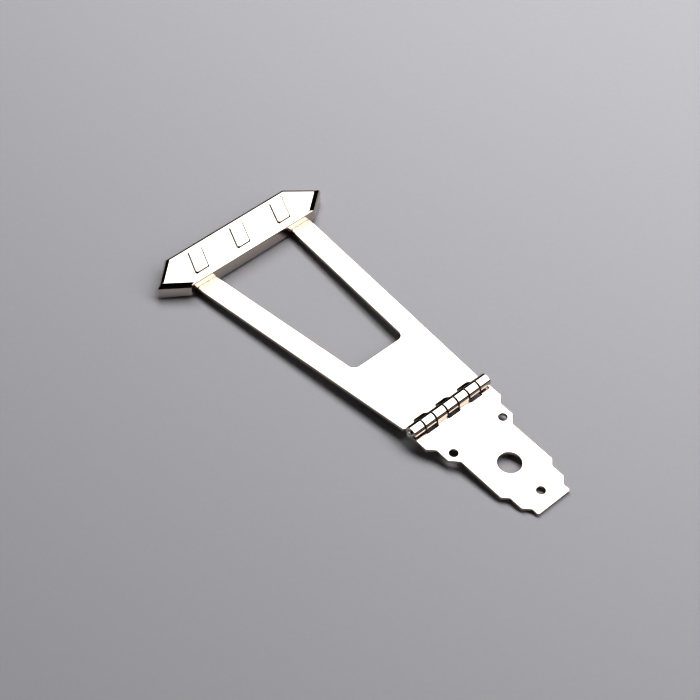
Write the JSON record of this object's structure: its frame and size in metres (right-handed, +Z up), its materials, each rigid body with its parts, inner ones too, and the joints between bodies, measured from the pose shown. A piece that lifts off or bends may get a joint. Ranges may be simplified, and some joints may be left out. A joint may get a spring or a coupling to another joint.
{
  "type": "trapeze tailpiece",
  "caption": "Stepped tail plate hinged by a rolled barrel to a trapeze frame that carries a hollow, point-ended crossbar with raised parallelograms.",
  "frame": {"origin": "middle of the bounding box's base, on the surface that the part lies on", "axes": "+X along the hinge pin, +Y from the tail plate to the crossbar, +Z up from the surface"},
  "size_m": [0.0904, 0.1956, 0.0098],
  "materials": {
    "plated_plate": "polished nickel plate",
    "plated_frame": "polished nickel plate",
    "plated_cover": "polished nickel plate",
    "pin_steel": "bright drawn steel",
    "inner_steel": "dull plated steel",
    "braze_metal": "polished, thinly plated"
  },
  "bodies": {
    "tail": {"tail_plate": "plated_plate", "hinge_pin": "pin_steel"},
    "trapeze": {"trapeze_frame": "plated_frame", "crossbar_cover": "plated_cover", "string_anchor": "inner_steel", "anchor_rivet_left": "inner_steel", "anchor_rivet_right": "inner_steel", "braze_left": "braze_metal", "braze_right": "braze_metal"}
  },
  "joints": [
    {"name": "hinge", "type": "hinge", "parent": "tail", "child": "trapeze", "pos_m": [0, -0.04038, 0.007], "axis": [-1, 0, 0], "range_deg": [-185, 90]}
  ]
}
